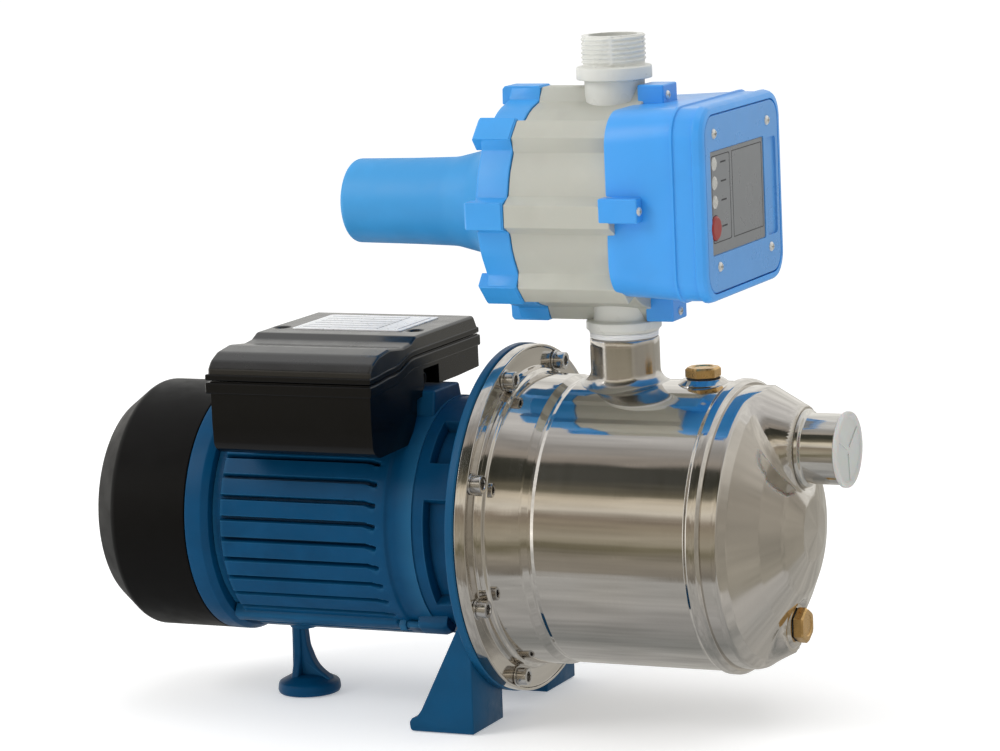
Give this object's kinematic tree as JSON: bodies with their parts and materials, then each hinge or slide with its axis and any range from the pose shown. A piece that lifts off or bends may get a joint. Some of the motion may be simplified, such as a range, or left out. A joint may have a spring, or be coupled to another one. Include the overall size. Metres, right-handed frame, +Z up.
{
  "type": "self-priming jet pump with pressure controller",
  "caption": "Stainless steel self-priming jet pump with a finned electric motor on feet, and an automatic pressure controller screwed on its outlet.",
  "frame": {"origin": "centre of the bounding box in X and Y, on the floor that the feet stand on", "axes": "+X along the shaft towards the suction inlet, +Z up, out of the controller's outlet"},
  "size_m": [0.4066, 0.182, 0.353],
  "materials": {
    "motor_paint": "gloss",
    "fan_cover_plastic": "satin",
    "box_plastic": "gloss",
    "polished_stainless": "mirror polished",
    "steel": "bright",
    "copper": "enamelled wire",
    "brass": "machined",
    "rubber": "matt",
    "ceramic": "smooth",
    "moulding_black": "moulded",
    "grey_plastic": "moulded",
    "blue_plastic": "moulded",
    "panel_plastic": "satin",
    "label_film": "satin film",
    "lens_plastic": "translucent",
    "button_plastic": "gloss",
    "board": "satin",
    "cream_plastic": "moulded",
    "white_plastic": "translucent",
    "tape": "matt tape",
    "plate": "satin"
  },
  "bodies": {
    "pump": {"bearing_front": "steel", "bearing_rear": "steel", "cable_gland": "rubber", "capacitor": "white_plastic", "casing_head": "polished_stainless", "casing_oring": "rubber", "check_valve_spring": "steel", "circuit_board": "board", "control_panel": "panel_plastic", "controller_body": "grey_plastic", "controller_front_box": "blue_plastic", "controller_rear_cover": "blue_plastic", "diffuser": "moulding_black", "discharge_pipe": "polished_stainless", "ejector": "moulding_black", "ejector_nozzle": "brass", "fan_cover": "fan_cover_plastic", "flange_bolt_1": "steel", "flange_bolt_2": "steel", "flange_bolt_3": "steel", "flange_bolt_4": "steel", "flange_bolt_5": "steel", "flange_bolt_6": "steel", "flange_bolt_7": "steel", "flange_bolt_8": "steel", "front_bracket": "motor_paint", "indicator_lens": "lens_plastic", "inlet_socket": "polished_stainless", "motor_housing": "motor_paint", "outlet_nipple": "grey_plastic", "panel_label": "label_film", "pressure_diaphragm": "rubber", "pressure_spring": "steel", "pump_casing": "polished_stainless", "rating_plate": "plate", "rear_bracket": "motor_paint", "rear_foot": "motor_paint", "seal_plate": "polished_stainless", "seal_seat": "ceramic", "stator_core": "steel", "terminal_block": "cream_plastic", "terminal_box_base": "box_plastic", "terminal_box_cover": "box_plastic", "thread_tape": "tape", "winding_front": "copper", "winding_rear": "copper"},
    "rotor": {"rotor_shaft": "steel", "rotor_core": "steel", "cooling_fan": "moulding_black", "impeller": "polished_stainless", "impeller_nut": "steel", "seal_head": "rubber"},
    "fill_washer": {"fill_washer": "rubber"},
    "fill_plug": {"fill_plug": "brass"},
    "drain_washer": {"drain_washer": "rubber"},
    "drain_plug": {"drain_plug": "brass"},
    "inlet_cap": {"inlet_cap": "white_plastic"},
    "restart_button": {"restart_button": "button_plastic"},
    "check_valve": {"check_valve": "moulding_black"},
    "pressure_piston": {"pressure_piston": "moulding_black"}
  },
  "joints": [
    {"name": "rotor_spin", "type": "hinge", "parent": "pump", "child": "rotor", "pos_m": [0.02925, 0, 0.1015], "axis": [1, 0, 0], "continuous": true},
    {"name": "fill_plug_turn", "type": "hinge", "parent": "pump", "child": "fill_washer", "pos_m": [0.12525, 0, 0.1015], "axis": [0, 0, 1], "range_deg": [0, 2520]},
    {"name": "fill_plug_lift", "type": "slide", "parent": "fill_washer", "child": "fill_plug", "axis": [0, 0, 1], "range_m": [0, 0.0095]},
    {"name": "drain_plug_turn", "type": "hinge", "parent": "pump", "child": "drain_washer", "pos_m": [0.17075, 0, 0.0515], "axis": [1, 0, 0], "range_deg": [0, 2520]},
    {"name": "drain_plug_lift", "type": "slide", "parent": "drain_washer", "child": "drain_plug", "axis": [1, 0, 0], "range_m": [0, 0.0095]},
    {"name": "inlet_cap_pull", "type": "slide", "parent": "pump", "child": "inlet_cap", "axis": [1, 0, 0], "range_m": [0, 0.03]},
    {"name": "restart_press", "type": "slide", "parent": "pump", "child": "restart_button", "axis": [-1, 0, 0], "range_m": [0, 0.0015], "stiffness_N_per_m": 400, "springref_m": -0.001},
    {"name": "check_valve_lift", "type": "slide", "parent": "pump", "child": "check_valve", "axis": [0, 0, 1], "range_m": [0, 0.006], "stiffness_N_per_m": 60, "springref_m": -0.01, "deforming": ["check_valve_spring"]},
    {"name": "pressure_piston_travel", "type": "slide", "parent": "pump", "child": "pressure_piston", "axis": [-1, 0, 0], "range_m": [0, 0.0025], "stiffness_N_per_m": 8000, "springref_m": -0.01}
  ],
  "couplings": [
    {"joint": "fill_plug_lift", "follows": "fill_plug_turn", "m_per_rad": 0.00021279},
    {"joint": "drain_plug_lift", "follows": "drain_plug_turn", "m_per_rad": 0.00021279}
  ]
}
